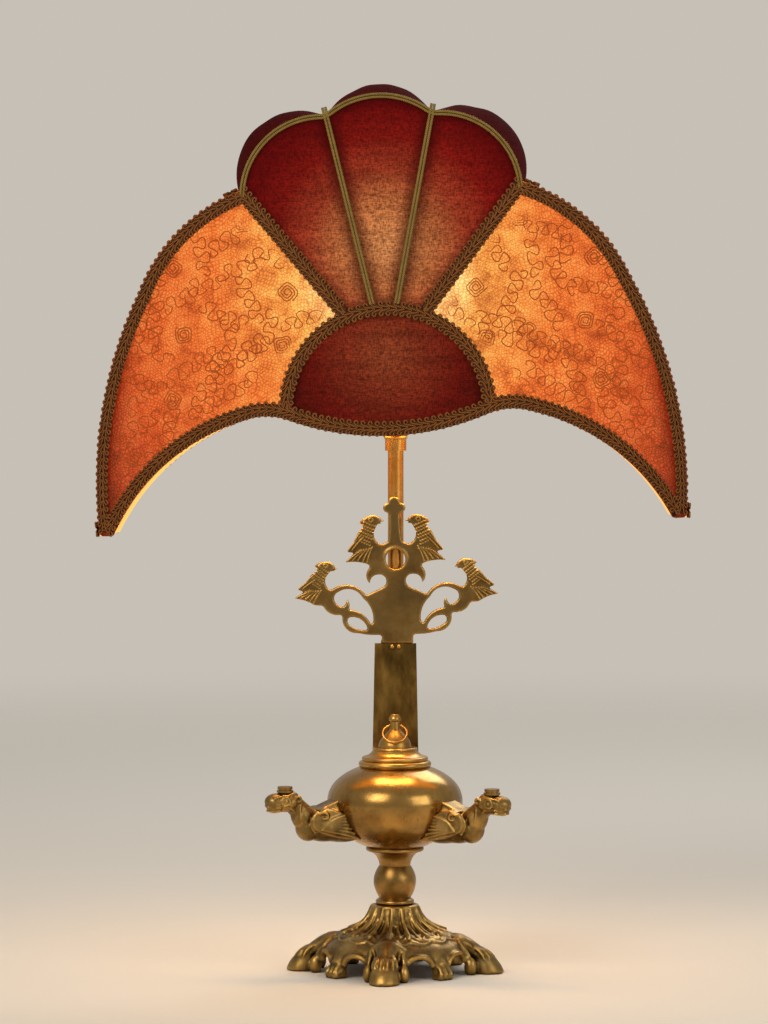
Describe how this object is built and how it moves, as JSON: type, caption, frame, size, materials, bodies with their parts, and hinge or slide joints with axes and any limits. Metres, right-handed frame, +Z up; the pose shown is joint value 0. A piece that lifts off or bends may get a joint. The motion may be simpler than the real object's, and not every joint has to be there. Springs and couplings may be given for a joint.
{
  "type": "electrified brass oil lamp with fabric shade",
  "caption": "Three-spout brass oil lamp with animal-head spouts and a pierced bird plaque, wired as a table lamp, under a fan-shaped velvet and lace shade.",
  "frame": {"origin": "centre of the base on the table", "axes": "+Z up, -Y towards the viewer, +X to the viewer's right"},
  "size_m": [0.3743, 0.1782, 0.5617],
  "materials": {
    "cast_brass": "cast, brown in the hollows, rubbed bright on the high parts",
    "turned_brass": "spun or turned and polished, lightly tarnished",
    "velvet": "burgundy velvet over a warm lining",
    "lace": "amber lace over silk lining",
    "gimp_braid": "bronze brown looped gimp",
    "twisted_cord": "olive gold twisted cord",
    "frame_wire": "enamelled wire, cream",
    "bulb_glass": "frosted",
    "nickel": "rolled thread",
    "porcelain": "fired, unglazed",
    "bakelite": "moulded",
    "steel": "zinc plated"
  },
  "bodies": {
    "lamp": {"back_plate": "turned_brass", "base_casting": "cast_brass", "base_nut": "steel", "bowl_nut": "steel", "clamp_screws": "turned_brass", "cord_bush": "bakelite", "font_bowl": "turned_brass", "holder_cap": "turned_brass", "holder_insulator": "porcelain", "holder_shell": "turned_brass", "lamp_tube": "turned_brass", "plaque": "cast_brass", "plaque_rivets": "turned_brass", "shade_nut": "bakelite", "spout_left": "cast_brass", "spout_rear": "cast_brass", "spout_right": "cast_brass", "stem_cup": "turned_brass", "stem_knop": "turned_brass", "threaded_rod": "steel", "tube_clamp": "turned_brass", "tube_collar": "turned_brass", "tube_socket": "turned_brass"},
    "shade": {"braid_bottom_back": "gimp_braid", "braid_bottom_front": "gimp_braid", "braid_edge_back": "gimp_braid", "braid_edge_front": "gimp_braid", "braid_inner_back": "gimp_braid", "braid_inner_front": "gimp_braid", "cord_back": "twisted_cord", "cord_front": "twisted_cord", "crown_centre": "velvet", "crown_left": "velvet", "crown_right": "velvet", "fan_centre_back": "velvet", "fan_centre_front": "velvet", "fan_left_back": "velvet", "fan_left_front": "velvet", "fan_right_back": "velvet", "fan_right_front": "velvet", "frame_back": "frame_wire", "frame_front": "frame_wire", "frame_ties": "frame_wire", "gusset_left": "lace", "gusset_right": "lace", "half_moon_back": "velvet", "half_moon_front": "velvet", "shade_spider": "frame_wire", "wing_left_back": "lace", "wing_left_front": "lace", "wing_right_back": "lace", "wing_right_front": "lace"},
    "lid": {"lid": "turned_brass"},
    "lid_ring": {"lid_ring": "turned_brass"},
    "bulb": {"bulb_cap": "nickel", "bulb_glass": "bulb_glass"},
    "wick_cap_left": {"wick_cap_left": "turned_brass"},
    "wick_cap_right": {"wick_cap_right": "turned_brass"},
    "wick_cap_rear": {"wick_cap_rear": "turned_brass"}
  },
  "joints": [
    {"name": "shade_swivel", "type": "hinge", "parent": "lamp", "child": "shade", "pos_m": [0, 0.0319, 0.371], "axis": [0, 0, 1], "continuous": true},
    {"name": "lid_lift", "type": "slide", "parent": "lamp", "child": "lid", "axis": [0, 0, 1], "range_m": [0, 0.04]},
    {"name": "ring_swing", "type": "hinge", "parent": "lid", "child": "lid_ring", "pos_m": [0, 0, 0.1566], "axis": [1, 0, 0], "range_deg": [-260, 0]},
    {"name": "bulb_turn", "type": "hinge", "parent": "lamp", "child": "bulb", "pos_m": [0, 0.0319, 0.375], "axis": [0, 0, 1], "continuous": true},
    {"name": "wick_cap_left_lift", "type": "slide", "parent": "lamp", "child": "wick_cap_left", "axis": [0, 0, 1], "range_m": [0, 0.012]},
    {"name": "wick_cap_right_lift", "type": "slide", "parent": "lamp", "child": "wick_cap_right", "axis": [0, 0, 1], "range_m": [0, 0.012]},
    {"name": "wick_cap_rear_lift", "type": "slide", "parent": "lamp", "child": "wick_cap_rear", "axis": [0, 0, 1], "range_m": [0, 0.012]}
  ]
}
